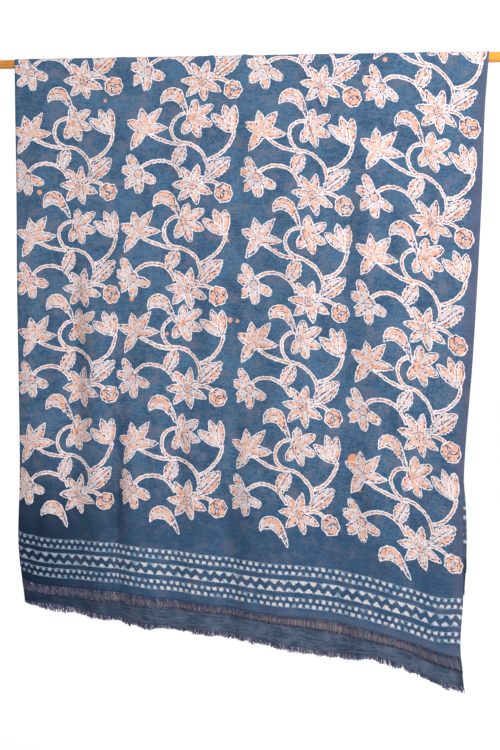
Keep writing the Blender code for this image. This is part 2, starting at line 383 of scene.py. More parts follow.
def make_header(name, panel, material):
    """The woven strip that closes one end below its bare warp."""
    across = np.linspace(0, STOLE_WIDTH, SHEET_COLUMNS + 1)
    share = np.linspace(0, 1, HEADER_ROWS + 1)[:, None]
    top, foot = end_line(panel, "warp", across), end_line(panel, "header", across)
    down = between((top, foot), share)
    return add_sheet(name, across, -panel.side * down, across, foot - down, material)


Threads = namedtuple("Threads", "count radius sway depth bunch pull")
WARP_BEHIND = Threads(count=1500, radius=0.00085, sway=0.0003, depth=0.0002, bunch=0.0060, pull=0.02)
WARP_BEFORE = Threads(count=900, radius=0.00048, sway=0.0022, depth=0.0012, bunch=0.0047, pull=0.40)
FRINGE = Threads(count=2500, radius=0.00080, sway=0.0026, depth=0.0020, bunch=0.0065, pull=0.40)
TUFTS = Threads(count=1900, radius=0.00046, sway=0.0032, depth=0.0016, bunch=0.0050, pull=0.30)
WARP_SEED, FRINGE_SEED, TUFT_SEED = 21, 33, 45
THREAD_SIDES = 3
THREAD_STEPS = 4
THREAD_SHARE = np.linspace(0, 1, THREAD_STEPS + 1)
THREAD_ROOT = 0.0014
THREAD_RADII = (0.75, 1.25)
THREAD_PULLS = (0.5, 1.5)
THREAD_TAPER = 0.35
SPLAY_POWER = 1.5
SELVEDGE_GAP = 0.001

# Threads lean to the right towards the right selvedge, and are in a tangle towards the left one
LEANING = (0.74, 0.88)
TANGLED = (0.46, 0.20)
TANGLED_SWAYS = (0.5, 1.2)
WARP_LEAN = 0.010
LOOSE_LEAN = 0.006
# The warp threads behind are real, but they take only dark tones, as painted shade in the gaps between
# the threads in front
BEHIND_SHADE_TONES, BEFORE_TONES = (0, 0.45), (0.2, 1)
DULL_RIGHT, DULL_LEFT = 0.5, 0.3

TUFT_LENGTH = (0.0025, 0.0105)
TUFTS_UP = -0.75
TUFTS_SHORTEN = (0.25, 0.55)
CLUMP = 0.011
CLUMP_LENGTHS = (0.42, 0.97)
STRAND_LENGTHS = (0.60, 1.15)
FRINGE_GROWS = (0.2, 0.6)
FRINGE_GROWTH = 0.4


def add_threads(name, parts, material):
    """Thin tubes along paths, an array of threads by steps by 3, each with its own tone."""
    paths, radii, tones = (np.concatenate(arrays) for arrays in zip(*parts))
    threads, steps, _ = paths.shape
    angles = 2 * math.pi * np.arange(THREAD_SIDES) / THREAD_SIDES
    ring = np.stack([np.cos(angles), np.sin(angles), np.zeros(THREAD_SIDES)], axis=-1)
    points = paths[:, :, None, :] + radii[:, :, None, None] * ring
    at = np.arange(threads * steps * THREAD_SIDES).reshape(threads, steps, THREAD_SIDES)
    after = np.roll(at, -1, axis=2)
    sides = np.stack([at[:, :-1], after[:, :-1], after[:, 1:], at[:, 1:]], axis=-1).reshape(-1, 4)
    caps = [tuple(row) for row in at[:, 0, ::-1]] + [tuple(row) for row in at[:, -1]]
    faces = [tuple(face) for face in sides] + caps
    thing = add_object(name, points.reshape(-1, 3), faces, material)
    layer = thing.data.attributes.new("thread_tone", "FLOAT", "POINT")
    layer.data.foreach_set("value", np.repeat(tones, steps * THREAD_SIDES).astype(np.float32))
    return thing


def thread_starts(style):
    """Each thread's place across the cloth, from selvedge to selvedge."""
    return np.linspace(SELVEDGE_GAP, STOLE_WIDTH - SELVEDGE_GAP, style.count)


def bunched(places, style, chance):
    """Lengths across, drawn towards the middle of the bunch that each is in."""
    middles = (np.floor(places / style.bunch) + 0.5) * style.bunch
    return places + (middles - places) * style.pull * between(THREAD_PULLS, chance.random(len(places)))


def thread_radii(style, chance, taper):
    sizes = between(THREAD_RADII, chance.random((style.count, 1)))
    return style.radius * sizes * (1 - taper * THREAD_SHARE)


def warp_layer(panel, style, chance, tones):
    """Threads held at both ends, that bow sideways and outwards between them."""
    start = thread_starts(style)
    middle = bunched(start, style, chance)
    bulge = np.sin(math.pi * THREAD_SHARE)
    across = start[:, None] + (middle - start)[:, None] * bulge
    sway = style.sway * between(TANGLED_SWAYS, ease(start, *TANGLED))
    across = across + chance.normal(0, 1, (style.count, 1)) * sway[:, None] * bulge
    lean = WARP_LEAN * ease(start, *LEANING)
    across = across + lean[:, None] * THREAD_SHARE
    top = end_line(panel, "cloth", start) - THREAD_ROOT
    foot = end_line(panel, "warp", np.minimum(start + lean, STOLE_WIDTH)) + THREAD_ROOT
    down = between((top[:, None], foot[:, None]), THREAD_SHARE)
    paths = cloth_points(np.clip(across, 0, STOLE_WIDTH), -panel.side * down)
    paths[..., 1] += panel.side * style.depth * chance.random((style.count, 1)) * bulge
    dull = DULL_RIGHT * ease(start, *LEANING) + DULL_LEFT * ease(start, TANGLED[0], 0)
    tone = between(tones, chance.random(style.count) * (1 - dull))
    return paths, thread_radii(style, chance, 0), tone


def make_warp(name, panel, material):
    """The open band: bare warp between the cloth's end and its header."""
    chance = np.random.default_rng(WARP_SEED + panel.side)
    behind = warp_layer(panel, WARP_BEHIND, chance, BEHIND_SHADE_TONES)
    before = warp_layer(panel, WARP_BEFORE, chance, BEFORE_TONES)
    return add_threads(name, [behind, before], material)


def loose_layer(panel, style, chance, root, length, off_face):
    """Threads that hang free from a line and splay, either off the cloth's face or curling back."""
    start = thread_starts(style)
    tip = bunched(start, style, chance) + chance.normal(0, style.sway, style.count)
    tip = tip + LOOSE_LEAN * ease(start, *LEANING)
    across = start[:, None] + (tip - start)[:, None] * THREAD_SHARE**SPLAY_POWER
    down = root[:, None] + length[:, None] * THREAD_SHARE
    paths = cloth_points(np.clip(across, 0, STOLE_WIDTH), -panel.side * down)
    curl = style.depth * np.abs(chance.normal(0, 1, (style.count, 1))) * THREAD_SHARE
    paths[..., 1] += panel.side * (SHEET_THICK + curl) if off_face else curl
    return paths, thread_radii(style, chance, THREAD_TAPER), chance.random(style.count)


def make_tufts(name, panel, material):
    """Frayed weft along both sides of the open band, pointing into it."""
    chance = np.random.default_rng(TUFT_SEED + panel.side)
    start = thread_starts(TUFTS)
    shorter = 1 - 0.5 * ease(np.linspace(0, STOLE_WIDTH, TUFTS.count), *TUFTS_SHORTEN)
    layers = []
    for line, way in (("cloth", 1), ("warp", TUFTS_UP)):
        root = end_line(panel, line, start) - way * THREAD_ROOT
        length = between(TUFT_LENGTH, chance.random(TUFTS.count) ** 2) * shorter * way
        layers.append(loose_layer(panel, TUFTS, chance, root, length, off_face=True))
    return add_threads(name, layers, material)


def make_fringe(name, panel, material):
    """Raw warp ends below the header, in uneven clumps."""
    chance = np.random.default_rng(FRINGE_SEED + panel.side)
    start = thread_starts(FRINGE)
    header = end_line(panel, "header", start)
    clumps = between(CLUMP_LENGTHS, chance.random(int(STOLE_WIDTH / CLUMP) + 2))
    clump = np.interp(start / CLUMP, np.arange(len(clumps)), clumps)
    each = clump * between(STRAND_LENGTHS, chance.random(len(start)))
    each = each * (1 + FRINGE_GROWTH * ease(start, *FRINGE_GROWS))
    length = (end_line(panel, "fringe", start) - header) * each + THREAD_ROOT
    layer = loose_layer(panel, FRINGE, chance, header - THREAD_ROOT, length, off_face=False)
    return add_threads(name, [layer], material)


# Materials


def linear(red, green, blue):
    """A colour given as 0 to 255, as a shader takes it."""
    shares = [c / 255 for c in (red, green, blue)]
    return tuple(s / 12.92 if s <= 0.04045 else ((s + 0.055) / 1.055) ** 2.4 for s in shares)


def operator(operation, other_first=False):
    """One of Field's operators, as a maths node."""

    def apply(field, other):
        pair = (other, field) if other_first else (field, other)
        return field.net.maths(operation, *pair)

    return apply


class Field:
    """A number that a material works out at each point, with ordinary arithmetic."""

    def __init__(self, net, socket):
        self.net, self.socket = net, socket

    __add__ = operator("ADD")
    __radd__ = operator("ADD", other_first=True)
    __sub__ = operator("SUBTRACT")
    __rsub__ = operator("SUBTRACT", other_first=True)
    __mul__ = operator("MULTIPLY")
    __rmul__ = operator("MULTIPLY", other_first=True)
    __truediv__ = operator("DIVIDE")
    __gt__ = operator("GREATER_THAN")

    def __neg__(self):
        return self * -1

    def __abs__(self):
        return self.net.maths("ABSOLUTE", self)


# A noise by the width of its features, with how both lengths are scaled and shifted for it
NOISE_DEFAULTS = (2, 0.5, (1, 1), (0, 0))
Noise = namedtuple("Noise", "size detail roughness scale shift", defaults=NOISE_DEFAULTS)


class Net:
    """Builds one material's nodes."""

    def __init__(self, name):
        self.material = bpy.data.materials.new(name)
        self.material.use_nodes = True
        self.tree = self.material.node_tree
        self.shader = self.tree.nodes["Principled BSDF"]

    def node(self, kind, inputs=(), **settings):
        made = self.tree.nodes.new(kind)
        for key, value in settings.items():
            setattr(made, key, value)
        for key, value in dict(inputs).items():
            self.feed(made.inputs[key], value)
        return made

    def feed(self, socket, value):
        if isinstance(value, Field):
            value = value.socket
        if isinstance(value, bpy.types.NodeSocket):
            self.tree.links.new(value, socket)
        elif isinstance(value, tuple) and len(value) == 3 and socket.type == "RGBA":
            socket.default_value = (*value, 1)
        else:
            socket.default_value = value

    def finish(self, colour, **settings):
        """Sets the shader's colour and its other inputs. Gives the material."""
        self.feed(self.shader.inputs["Base Color"], colour)
        for name, value in settings.items():
            self.shader.inputs[name.replace("_", " ")].default_value = value
        return self.material

    def maths(self, operation, *values):
        made = self.node("ShaderNodeMath", enumerate(values), operation=operation)
        return Field(self, made.outputs[0])

    def least(self, one, other):
        return self.maths("MINIMUM", one, other)

    def most(self, one, other):
        return self.maths("MAXIMUM", one, other)

    def clamp(self, value, low, high):
        return self.most(self.least(value, high), low)

    def wrap(self, value, whole):
        """A length within half of whole on either side of 0, in a row that repeats."""
        return self.maths("WRAP", value, -whole / 2, whole / 2)

    def reach(self, x, y):
        return self.maths("SQRT", x * x + y * y)

    def disc(self, x, y, centre, radius):
        return self.reach(x - centre[0], y - centre[1]) - radius

    def ease(self, value, start, end):
        """0 at start, 1 at end, and level at both."""
        inputs = {"Value": value, "From Min": start, "From Max": end}
        made = self.node("ShaderNodeMapRange", inputs, interpolation_type="SMOOTHSTEP")
        return Field(self, made.outputs["Result"])

    def mix(self, share, one, other):
        made = self.node("ShaderNodeMix", {0: share, 6: one, 7: other}, data_type="RGBA")
        return made.outputs[2]

    def dyed(self, colour, *dyes):
        """A colour with others over it, each by its share."""
        for share, other in dyes:
            colour = self.mix(share, colour, other)
        return colour

    def place(self, map_name):
        """Both lengths of a point from a UV map, in millimetres."""
        read = self.node("ShaderNodeUVMap", uv_map=map_name)
        parts = self.node("ShaderNodeSeparateXYZ", {0: read.outputs[0]})
        return tuple(Field(self, parts.outputs[i]) * 1000 for i in range(2))

    def point(self, x, y):
        return self.node("ShaderNodeCombineXYZ", {0: x, 1: y}).outputs[0]

    def noise(self, kind, x, y):
        (wide, tall), (right, down) = kind.scale, kind.shift
        inputs = {"Vector": self.point(x * wide + right, y * tall + down)}
        inputs.update(Scale=1 / kind.size, Detail=kind.detail, Roughness=kind.roughness)
        return self.node("ShaderNodeTexNoise", inputs, noise_dimensions="2D")

    def noise_value(self, kind, x, y):
        """A noise's value at a place, from 0 to 1."""
        return Field(self, self.noise(kind, x, y).outputs[0])

    def noise_pair(self, kind, x, y):
        """Two independent values at a place, from -0.5 to 0.5."""
        parts = self.node("ShaderNodeSeparateColor", {0: self.noise(kind, x, y).outputs[1]})
        return tuple(Field(self, parts.outputs[i]) - 0.5 for i in range(2))


# The print

LINE_MM = 1.8
STEM_CORE_MM = 2.3
STEM_HALF_MM = 3.6
EYE_RIM_MM = 1
TOOTH_TURN = 0.78
ORANGE_IN_MM = 2.6
ORANGE_ASIDE_MM = 0.4
DOT_SHARE = 0.80
DOT_MM = 0.3
SEAM_IN_MM = 2
SEAM_EDGE_MM = 2.7


class Ink:
    """The shapes of the print so far: how far inside them a point is, and how near an outline."""

    def __init__(self, net):
        self.net = net
        self.body = self.line = self.stems = self.orange = self.crack = self.petals = None

    def least(self, one, other):
        return other if one is None else self.net.least(one, other)

    def shape(self, depth):
        """Adds a flower or leaf by its distance field in millimetres, negative inside."""
        self.body = self.least(self.body, depth)
        self.line = self.least(self.line, abs(depth + LINE_MM / 2))

    def stem(self, depth):
        """Adds a stem, which is outlined together with the others."""
        self.stems = self.least(self.stems, depth)

    def eye(self, depth):
        """Adds a flower's orange middle over its petals."""
        self.line = self.net.most(self.line, -depth)
        self.body = self.net.least(self.body, depth)
        self.blot(depth + EYE_RIM_MM)

    def blot(self, depth):
        """Adds an orange part of a shape."""
        self.orange = self.least(self.orange, depth)

    def vein(self, distance):
        """Adds a pale line inside a shape."""
        self.line = self.net.least(self.line, distance)

    def split(self, distance):
        """Adds a dark line inside a shape, where the wax cracked."""
        self.crack = self.least(self.crack, distance)

    def tint(self, depth, along, aside, length):
        """Makes a petal orange along one side, with a dark dot near its tip."""
        self.blot(within(depth, ORANGE_IN_MM, ORANGE_ASIDE_MM - aside))
        self.split(self.net.reach(along - length * DOT_SHARE, aside) - DOT_MM)

    def finish(self):
        """Joins the stems to the shapes. No stem's outline crosses a shape."""
        stem_line = abs(self.stems + LINE_MM / 2)
        self.line = self.net.least(self.line, self.net.most(stem_line, -self.body))
        self.blot(self.net.most(self.stems + STEM_CORE_MM, -self.body))
        self.petals = self.body
        self.body = self.net.least(self.body, self.stems)


def within(shape, inset, mark):
    """The part of a mark that is at least inset inside a shape."""
    return shape.net.most(mark, shape + inset)


def turned(x, y, angle):
    """x and y along and across a direction."""
    c, s = math.cos(angle), math.sin(angle)
    return x * c + y * s, y * c - x * s


def petal(net, along, aside, length, half_width, early, late):
    """A petal from 0 to length. A small early or late power makes its near or far end blunt."""
    held = net.clamp(along, 0, length)
    t = held / length
    fullest = early / (early + late)
    peak = fullest**early * (1 - fullest) ** late
    shape = net.maths("POWER", t, early) * net.maths("POWER", 1 - t, late)
    return abs(aside) + abs(along - held) - shape * (half_width / peak)


def px(*places):
    """Photo pixels as millimetres."""
    return tuple(p * PX / MM for p in places)


class Block:
    """One stamped block. Its places are in photo pixels from the big flower's centre, to the right
    and down, and its sizes are in millimetres."""

    def __init__(self, ink, x, y):
        self.ink, self.net, self.x, self.y = ink, ink.net, x, y

    def disc(self, centre, radius):
        return self.net.disc(self.x, self.y, px(*centre), radius)

    def leaf(self, base, tip, half_width, early, late, teeth=0):
        """A leaf or petal, with a point's place along and aside of its midrib."""
        (base_x, base_y), (tip_x, tip_y) = px(*base), px(*tip)
        dx, dy = tip_x - base_x, tip_y - base_y
        along, aside = turned(self.x - base_x, self.y - base_y, math.atan2(dy, dx))
        depth = petal(self.net, along, aside, math.hypot(dx, dy), half_width, early, late)
        if teeth:
            depth = depth + self.net.maths("SINE", along * TOOTH_TURN) * teeth
        return depth, along, aside

    def stem(self, *places):
        """Adds a stem along the arc through three places."""
        start, middle, end = (complex(*px(*place)) for place in places)
        turn = (end - start) / (middle - start)
        centre = start + (middle - start) * (turn - abs(turn) ** 2) / (2j * turn.imag)
        before = cmath.phase((middle - centre) / (start - centre))
        after = cmath.phase((end - centre) / (middle - centre))
        half_sweep = abs(before + after) / 2
        facing = cmath.phase(start - centre) + (before + after) / 2
        x, y = self.x - centre.real, self.y - centre.imag
        away = self.net.reach(x, y)
        past_ends = away * math.cos(half_sweep) - turned(x, y, facing)[0]
        self.ink.stem(self.net.most(abs(away - abs(start - centre)) - STEM_HALF_MM, past_ends))

    def flower(self, flower):
        """Adds a flower in one outline, with dark seams between its petals. Gives its petals."""
        whole = seams = None
        parts = []
        for tip in flower.tips:
            part = self.leaf(flower.centre, tip, flower.half, flower.early, flower.late)
            if whole is None:
                whole = part[0]
            else:
                seam = self.net.most(whole, part[0])
                seams = seam if seams is None else self.net.least(seams, seam)
                whole = self.net.least(whole, part[0])
            parts.append(part)
        self.ink.shape(self.net.least(whole, self.disc(flower.centre, flower.core)))
        seam = seams - whole
        self.ink.split(within(whole, SEAM_IN_MM, seam))
        self.ink.vein(within(whole, SEAM_IN_MM, abs(seam - SEAM_EDGE_MM)))
        return parts

    def tinted_flower(self, flower):
        for tip, part in zip(flower.tips, self.flower(flower)):
            self.ink.tint(*part, math.dist(px(*tip), px(*flower.centre)))


# A flower by its centre, its petals' tips, their half width, the radius of its core, and how
# blunt its petals are at both ends
Flower = namedtuple("Flower", "centre tips half core early late")
PATCHED = Flower(
    (-56, -8.5),
    ((-67.5, -27.5), (-74.5, -13.5), (-71, 5.5), (-54.5, 11), (-37.5, -2)),
    9.6, 13, 0.5, 0.42,
)
BLOOM = Flower(
    (1, 0),
    ((-13, -18), (4, -22), (21.5, 8.2), (6, 20), (-14, 16), (-21, -0.5)),
    9.3, 13, 0.6, 0.8,
)
ROUND_EYED = Flower(
    (-4.6, -66.8),
    ((-3, -85.2), (15, -80.8), (15.8, -60.2), (3, -47.5), (-13.5, -50.3)),
    9.9, 12, 0.6, 0.6,
)
STAR = Flower(
    (-53.6, -54.6),
    ((-57.8, -75.2), (-37.3, -77.2), (-27.8, -56.2), (-65.8, -32.8), (-73, -61)),
    10.6, 14.5, 0.55, 0.95,
)
TULIP = (
    ((36, -55), (13.4, -71), 10.2),
    ((34.5, -58), (25.2, -81.8), 9),
    ((36.5, -53.5), (36.6, -81.8), 10),
)
TULIP_LENGTH_MM = 49.23
PATCH_SHARE, PATCH_MM = 0.66, 5.4
PATCHED_EYE_MM, BLOOM_EYE_MM, ROUND_EYE_MM = 6.817, 6.059, 7.953
ROUND_EYE = (-5.2, -66.2)
ROSEBUD = (32.9, 6.1)
ROSEBUD_MM, ROSEBUD_MIDDLE_MM = 18.18, 6.438
SCALLOPS, SCALLOP_MM = 7, 0.8
CURL_TURNS = (-70, 50, 170)
CURL_OFF_MM, CURL_MM = 8, 9.846
CRESCENT, CRESCENT_MM = (-27.8, 18.4), 23.10
CRESCENT_UNDER, CRESCENT_UNDER_MM = (-29.9, 32.2), 23.48


def draw_patched_flower(block):
    """The flower with an orange patch on each petal and an orange middle."""
    block.flower(PATCHED)
    for tip in PATCHED.tips:
        spot = [between(ends, PATCH_SHARE) for ends in zip(PATCHED.centre, tip)]
        block.ink.blot(block.disc(spot, PATCH_MM))
    eye = block.disc(PATCHED.centre, PATCHED_EYE_MM)
    block.ink.blot(eye)
    block.ink.split(abs(eye - 1))


def draw_big_flower(block):
    """The big flower, its stem and its toothed leaf."""
    ink = block.ink
    block.tinted_flower(BLOOM)
    ink.shape(block.leaf((1.5, -1), (12.5, -8.5), 7, early=0.8, late=0.6)[0])
    eye = block.disc(BLOOM.centre, BLOOM_EYE_MM)
    ink.eye(eye)
    ink.split(abs(eye - 1.6) - 0.3)
    block.stem((-54, -14.5), (-35, -23.6), (-12, -7.5))
    blade, _, aside = block.leaf((12, -7), (37.2, -30.2), 15.8, early=0.7, late=0.8, teeth=0.9)
    ink.shape(blade)
    ink.vein(within(blade, 6, abs(aside - 0.6) + 0.4))
    ink.split(within(blade, 4.4, abs(aside + 1.6)))
    ink.split(within(blade, 3.6, abs(aside - 5.2)))
    ink.blot(within(blade, ORANGE_IN_MM, 6.5 - aside))


def draw_rosebud(block):
    """A rosebud with a scalloped edge and curled petals, on its stem."""
    x, y = px(*ROSEBUD)
    angle = block.net.maths("ARCTAN2", block.y - y, block.x - x)
    scallops = block.net.maths("COSINE", angle * SCALLOPS) * SCALLOP_MM
    edge = block.disc(ROSEBUD, ROSEBUD_MM) - scallops
    block.ink.shape(edge)
    block.ink.blot(within(edge, ORANGE_IN_MM, -block.disc(ROSEBUD, ROSEBUD_MIDDLE_MM)))
    for turn in CURL_TURNS:
        away = math.radians(turn)
        centre = (x + math.cos(away) * CURL_OFF_MM, y + math.sin(away) * CURL_OFF_MM)
        curl = abs(block.net.disc(block.x, block.y, centre, CURL_MM))
        block.ink.split(within(edge, 3, curl))
    block.stem((7, -2), (18, -4.2), (28, 0))


def draw_crescent(block):
    """The crescent below the patched flower, with its tail."""
    ink, net = block.ink, block.net
    arch = block.disc(CRESCENT, CRESCENT_MM)
    under = block.disc(CRESCENT_UNDER, CRESCENT_UNDER_MM)
    tail, along, aside = block.leaf((-21.5, 9), (-10.5, 34.5), 5.6, early=0.6, late=0.6)
    ink.shape(net.least(net.most(arch, -under), tail))
    ink.blot(net.most(abs(arch + 7) - 4, abs(block.x + 49.23) - 17.04))
    ink.split(abs(arch + 12.5) + abs(block.x + 51.12) * 0.08)
    ink.split(net.most(abs(aside), 18.94 - along))


def draw_bloom(block):
    """The big flower and what stands level with it."""
    draw_patched_flower(block)
    draw_big_flower(block)
    draw_rosebud(block)
    draw_crescent(block)


def draw_vine(block):
    """The vine above the big flower, with its round-eyed flower, star, tulip and small leaf."""
    ink = block.ink
    block.tinted_flower(ROUND_EYED)
    ink.eye(block.disc(ROUND_EYE, ROUND_EYE_MM))
    block.tinted_flower(STAR)
    block.stem((-8, -71.3), (-25.2, -57.2), (-13, -41.3))
    block.stem((-15, -41.5), (8, -32.7), (13.2, -7))
    block.stem((-48.5, -50), (-33.5, -43.2), (-10, -40.6))
    block.stem((38.5, -57), (33, -40.5), (14.5, -26.5))
    for base, tip, half in TULIP:
        depth, along, aside = block.leaf(base, tip, half, early=0.8, late=0.7)
        ink.shape(depth)
        ink.tint(depth, along, aside - 1.2, TULIP_LENGTH_MM)
    blade, _, aside = block.leaf((-10.3, -39.5), (-21.3, -17.6), 13.5, 0.7, 0.7, teeth=0.8)
    ink.shape(blade)
    ink.split(within(blade, 3.2, abs(aside)))
    ink.blot(within(blade, ORANGE_IN_MM, 5.5 - aside))


# The columns of the print in millimetres: each one's middle, with how it bows and leans, the
# height of its first row, its pitch, how far its blocks slant and are enlarged, and how far to
# the right and down each row's block was set by hand
Column = namedtuple("Column", "middle bow lean first pitch slant size right down")
COLUMNS = (
    Column(
        129.5, -5.5, 4, 51.5, 196.1, 0.01, 0.945,
        right=(11, -4, 0, 0, -2), down=(-2, 2.5, 2, -4.5, 2),
    ),
    Column(
        340, 19.7, -7.2, 52, 197.8, 0.05, 1,
        right=(0, 0, -2.5, 0, -1.5), down=(3.5, 1.5, 0, -7.5, 4.5),
    ),
    Column(
        576.6, 6, -4.3, 70.4, 200, 0.16, 1.005,
        right=(3, -1.5, 0, -1.5, 0), down=(-3.5, 2, 3.5, 0.5, 1),
    ),
    Column(
        804.5, 7.1, -2.5, 120.2, 202.5, 0.28, 1.04,
        right=(0, 0.5, -0.5, 0, 0.5), down=(0, 3.5, 0, -3, 2.5),
    ),
)
SHIFT_SPAN_MM = 40
BOW_MM = 400
BLOCK_LEFT_MM = 135
BLOCK_STEP_MM = (26, 18)
PATCHED_LEVEL_MM, ROSEBUD_LEVEL_MM = -24, 18
PATCHED_FURTHER_MM, ROSEBUD_NEARER_MM = 4.5, 4
FIRST_ROW, LAST_ROW = -3, 4
VINE_CELL_MM = 110
WIDE_WOBBLE = Noise(60, detail=1)
FINE_WOBBLE = Noise(6.5, detail=3, roughness=0.6)
WIDE_WOBBLE_MM, FINE_WOBBLE_MM = 6, 4.4


def block_reach(net, column, y):
    """How far left of its middle a column's blocks reach: further beside the patched flower."""
    level = net.wrap(y - column.first + column.slant * BLOCK_LEFT_MM, column.pitch)
    further = net.ease(abs(level - PATCHED_LEVEL_MM), *BLOCK_STEP_MM) * PATCHED_FURTHER_MM
    nearer = net.ease(abs(level - ROSEBUD_LEVEL_MM), *BLOCK_STEP_MM) * ROSEBUD_NEARER_MM
    return (further - nearer + BLOCK_LEFT_MM) * column.size


def of_columns(values, started):
    """The value for a point's column, where started says which later columns have begun."""
    total = values[0]
    for before, after, begun in zip(values, values[1:], started):
        total = total + begun * (after - before)
    return total


def of_row(net, row, values):
    """The value for a row. Rows above the first take the first one's."""
    last = len(values) - 1
    made = net.node("ShaderNodeFloatCurve", {"Value": row / last})
    made.mapping.extend = "HORIZONTAL"
    curve = made.mapping.curves[0]
    for i in range(1, last):
        curve.points.new(i / last, 0.5)
    for i, (point, value) in enumerate(zip(curve.points, values)):
        point.location = (i / last, 0.5 + value / SHIFT_SPAN_MM)
        point.handle_type = "VECTOR"
    made.mapping.update()
    return (Field(net, made.outputs[0]) - 0.5) * SHIFT_SPAN_MM


def draw_floral(net, across, down):
    """The whole floral print, as an Ink."""
    wide_x, wide_y = net.noise_pair(WIDE_WOBBLE, across, down)
    fine_x, fine_y = net.noise_pair(FINE_WOBBLE, across, down)
    x = across + wide_x * WIDE_WOBBLE_MM + fine_x * FINE_WOBBLE_MM
    y = down + wide_y * WIDE_WOBBLE_MM + fine_y * FINE_WOBBLE_MM
    along = net.most(y / BOW_MM - 1, -1)
    bow = along * along
    started = []
    for column in COLUMNS[1:]:
        middle = bow * column.bow + along * column.lean + column.middle
        started.append(x > middle - block_reach(net, column, y))
    each = Column(*zip(*COLUMNS))
    middle = of_columns(each.bow, started) * bow + of_columns(each.lean, started) * along
    x = x - middle - of_columns(each.middle, started)
    y = y - of_columns(each.first, started) - of_columns(each.slant, started) * x
    size = of_columns(each.size, started)
    pitch = of_columns(each.pitch, started)
    ink = Ink(net)
    for draw, above in ((draw_bloom, 0), (draw_vine, VINE_CELL_MM)):
        row = net.maths("FLOOR", (y + above) / pitch + 0.5)
        row = net.clamp(row, FIRST_ROW, LAST_ROW)
        right = of_columns([of_row(net, row, column.right) for column in COLUMNS], started)
        lower = of_columns([of_row(net, row, column.down) for column in COLUMNS], started)
        draw(Block(ink, (x - right) / size, (y - row * pitch - lower) / size))
    ink.finish()
    return ink


# The border, in millimetres above the cloth's end
BORDER_MIDDLE_MM = 58.9
SQUARE_ROWS_MM = 29.8
SQUARE_ROW_OFF_MM = 5.7
SQUARE_PITCH_MM = 12.7
SQUARE_HALF_MM = (3.7, 3.2)
SQUARE_POWER = 3.2
UPPER_SQUARES_MM = 5
TRIANGLE_PITCH_MM = 18.6
TRIANGLE_BASE_MM = 10.5
TRIANGLE_HALF_MM = 9
TRIANGLE_TALL_MM = 9.8
TRIANGLE_DOME_MM = 8.2
RULE_HALF_MM = 0.8
BORDER_WOBBLE = Noise(5.5)
BORDER_WOBBLE_MM = (4.2, 3.4)


def draw_border(net, across, above):
    """Two rows of squares, two rows of triangles point to point, and two rows of squares."""
    wide, tall = net.noise_pair(BORDER_WOBBLE, across, above)
    x = across + wide * BORDER_WOBBLE_MM[0]
    y = above - BORDER_MIDDLE_MM + tall * BORDER_WOBBLE_MM[1]
    upper = y > 0
    from_middle = abs(y)
    outer = from_middle > SQUARE_ROWS_MM
    square_x = x + upper * UPPER_SQUARES_MM + outer * (SQUARE_PITCH_MM / 2)
    square_x = net.wrap(square_x, SQUARE_PITCH_MM)
    square_y = abs(from_middle - SQUARE_ROWS_MM) - SQUARE_ROW_OFF_MM
    round_x, round_y = abs(square_x) / SQUARE_HALF_MM[0], abs(square_y) / SQUARE_HALF_MM[1]
    rounded = net.maths("POWER", round_x, SQUARE_POWER) + net.maths("POWER", round_y, SQUARE_POWER)
    squares = (net.maths("POWER", rounded, 1 / SQUARE_POWER) - 1) * SQUARE_HALF_MM[1]
    triangle_x = net.wrap(x + upper * (TRIANGLE_PITCH_MM / 2), TRIANGLE_PITCH_MM)
    height = TRIANGLE_BASE_MM - from_middle
    side = abs(triangle_x) + height * (TRIANGLE_HALF_MM / TRIANGLE_TALL_MM) - TRIANGLE_HALF_MM
    dome = net.reach(triangle_x, height) - TRIANGLE_DOME_MM
    triangles = net.most(net.most(side * 0.8, -height), dome)
    marks = net.least(squares, triangles)
    rules = net.least(abs(square_y - SQUARE_HALF_MM[1]), abs(height)) - RULE_HALF_MM
    return marks, rules


INDIGO = linear(62, 93, 118)
INDIGO_DEEP = linear(34, 60, 86)
INDIGO_GREY = linear(84, 90, 106)
INDIGO_DARK = linear(8, 26, 45)
HEADER_DEEP = linear(33, 48, 66)
HEADER_SLATE = linear(50, 66, 84)
HEADER_GREY = linear(78, 86, 104)
SELVEDGE_GREY = linear(68, 70, 90)
OUTLINE = linear(195, 189, 190)
CREAM = linear(190, 180, 177)
LILAC = linear(168, 158, 162)
PEACH = linear(184, 130, 103)
PEACH_PALE = linear(190, 156, 140)
SPECK = linear(40, 50, 84)
BORDER_PALE = linear(172, 166, 166)
BORDER_SHADE_BLUE = linear(86, 106, 126)
MARK_BLUE = linear(100, 122, 142)

# The ground's clouds, patches, mottling, grain and streaks, and the weave both ways
CLOUDS = Noise(60, detail=3, roughness=0.6)
PATCHES = Noise(26, detail=4, roughness=0.65, scale=(0.8, 1))
MOTTLE = Noise(8, detail=5, roughness=0.85, scale=(0.85, 1), shift=(90, 0))
GRAIN = Noise(2.7, roughness=0.7, scale=(0.8, 1), shift=(30, 0))
STREAKS = Noise(2.8, roughness=0.7, scale=(0.09, 1))
WEFT = Noise(0.8, detail=1, scale=(0.12, 1))
WARP = Noise(0.9, detail=1, scale=(1, 0.1))
WEAVE_STRENGTH = 0.35

SELVEDGE_MM = (870, 889)
HEADER_CURL_SHADE_MM = (878, 893)


def indigo_ground(net, across, down, tones, streaked):
    """Mottled indigo with grey-purple clouds and fine streaks along the weft."""
    deep, plain, grey = tones
    noises = [net.noise_value(n, across, down) for n in (CLOUDS, PATCHES, MOTTLE, GRAIN, STREAKS)]
    clouds, patches, mottle, grain, streaks = noises
    darker_below = net.ease(down, 560, 1000) * 0.16
    depth = clouds * 0.6 + mottle * 0.9 + grain * 0.7 + streaks * 0.3 - 0.75 - darker_below
    patches = patches * 0.8 + grain * 0.3 - 0.05
    return net.dyed(
        deep,
        (net.ease(depth, 0.22, 0.78), plain),
        (net.ease(patches, 0.46, 0.68) * 0.78, grey),
        (net.ease(streaks, 0.42, 0.72) * streaked, grey),
    )


